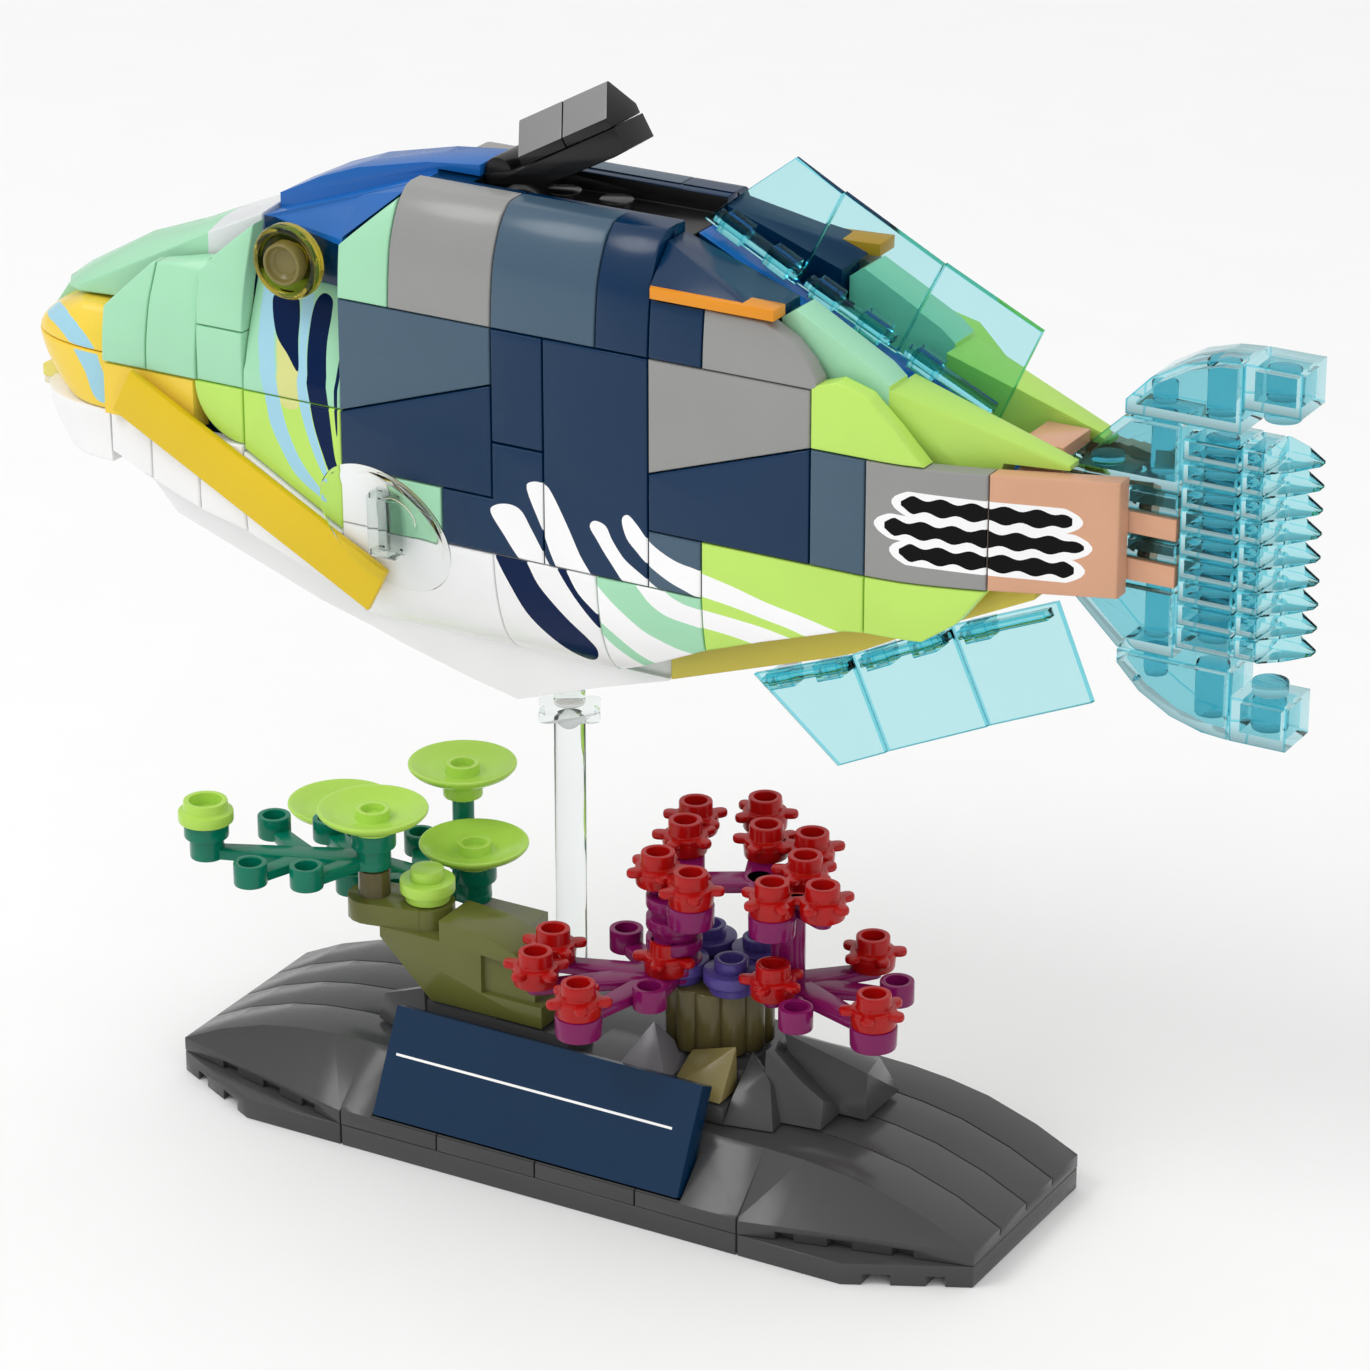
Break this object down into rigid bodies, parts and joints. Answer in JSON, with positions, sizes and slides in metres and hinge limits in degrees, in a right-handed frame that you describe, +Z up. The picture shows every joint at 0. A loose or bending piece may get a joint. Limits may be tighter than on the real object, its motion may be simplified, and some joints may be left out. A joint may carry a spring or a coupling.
{
  "type": "brick-built triggerfish display model",
  "caption": "Still display model of a picasso triggerfish built from interlocking plastic bricks, on a clear rod over a brick rock base with corals, a plant and a bare plaque.",
  "frame": {"origin": "centre of the base's footprint, on the floor", "axes": "+X from the fish's mouth to its tail, +Y to the fish's starboard side, +Z up"},
  "size_m": [0.1944, 0.0566, 0.1545],
  "materials": {
    "mint_plastic": "glossy moulded plastic",
    "slate_plastic": "glossy moulded plastic",
    "navy_plastic": "glossy moulded plastic",
    "grey_plastic": "glossy moulded plastic",
    "lime_plastic": "glossy moulded plastic",
    "tan_plastic": "glossy moulded plastic",
    "white_plastic": "glossy moulded plastic",
    "gold_plastic": "glossy moulded plastic",
    "clear_plastic": "glossy transparent moulded plastic",
    "eye_plastic": "glossy transparent moulded plastic",
    "mustard_plastic": "glossy moulded plastic",
    "yellow_plastic": "glossy moulded plastic",
    "blue_plastic": "glossy moulded plastic",
    "black_plastic": "glossy moulded plastic",
    "aqua_plastic": "glossy transparent moulded plastic",
    "dark_plastic": "glossy moulded plastic",
    "plaque_plastic": "glossy moulded plastic",
    "olive_plastic": "glossy moulded plastic",
    "teal_plastic": "glossy moulded plastic",
    "sand_plastic": "glossy moulded plastic",
    "magenta_plastic": "glossy moulded plastic"
  },
  "bodies": {
    "root": {"cheek_port": "mint_plastic", "gill_panel_port": "mint_plastic", "shoulder_port": "mint_plastic", "back_row_port": "slate_plastic", "flank_slate_port": "slate_plastic", "flank_navy_port": "navy_plastic", "rear_grey_port": "grey_plastic", "rear_navy_port": "navy_plastic", "lime_lower_port": "lime_plastic", "lime_upper_port": "lime_plastic", "tail_grey_port": "grey_plastic", "tail_tan_port": "tan_plastic", "belly_mint_port": "mint_plastic", "belly_white_port": "white_plastic", "stripe_port": "gold_plastic", "pectoral_fin_port": "clear_plastic", "eye_port": "eye_plastic", "cheek_starboard": "mint_plastic", "gill_panel_starboard": "mint_plastic", "shoulder_starboard": "mint_plastic", "back_row_starboard": "slate_plastic", "flank_slate_starboard": "slate_plastic", "flank_navy_starboard": "navy_plastic", "rear_grey_starboard": "grey_plastic", "rear_navy_starboard": "navy_plastic", "lime_lower_starboard": "lime_plastic", "lime_upper_starboard": "lime_plastic", "tail_grey_starboard": "grey_plastic", "tail_tan_starboard": "tan_plastic", "belly_mint_starboard": "mint_plastic", "belly_white_starboard": "white_plastic", "stripe_starboard": "gold_plastic", "pectoral_fin_starboard": "clear_plastic", "eye_starboard": "eye_plastic", "core": "navy_plastic", "keel": "white_plastic", "belly_mustard": "mustard_plastic", "snout": "yellow_plastic", "jaw": "white_plastic", "crest": "mint_plastic", "brow": "blue_plastic", "back_deck": "slate_plastic", "back_ridge": "navy_plastic", "fin_bed": "lime_plastic", "dorsal_spine": "black_plastic", "dorsal_fin": "aqua_plastic", "anal_fin": "aqua_plastic", "tail_fin": "aqua_plastic", "tail_root": "tan_plastic", "stand_plate": "dark_plastic", "stand_rock_base": "dark_plastic", "stand_plaque": "plaque_plastic", "stand_rod": "clear_plastic", "stand_rocks": "dark_plastic", "stand_plant_trunk": "olive_plastic", "stand_plant_upper": "teal_plastic", "stand_plant_lower": "teal_plastic", "stand_coral_column": "sand_plastic", "stand_pyramid_rock": "grey_plastic", "stand_coral": "magenta_plastic"}
  },
  "joints": []
}
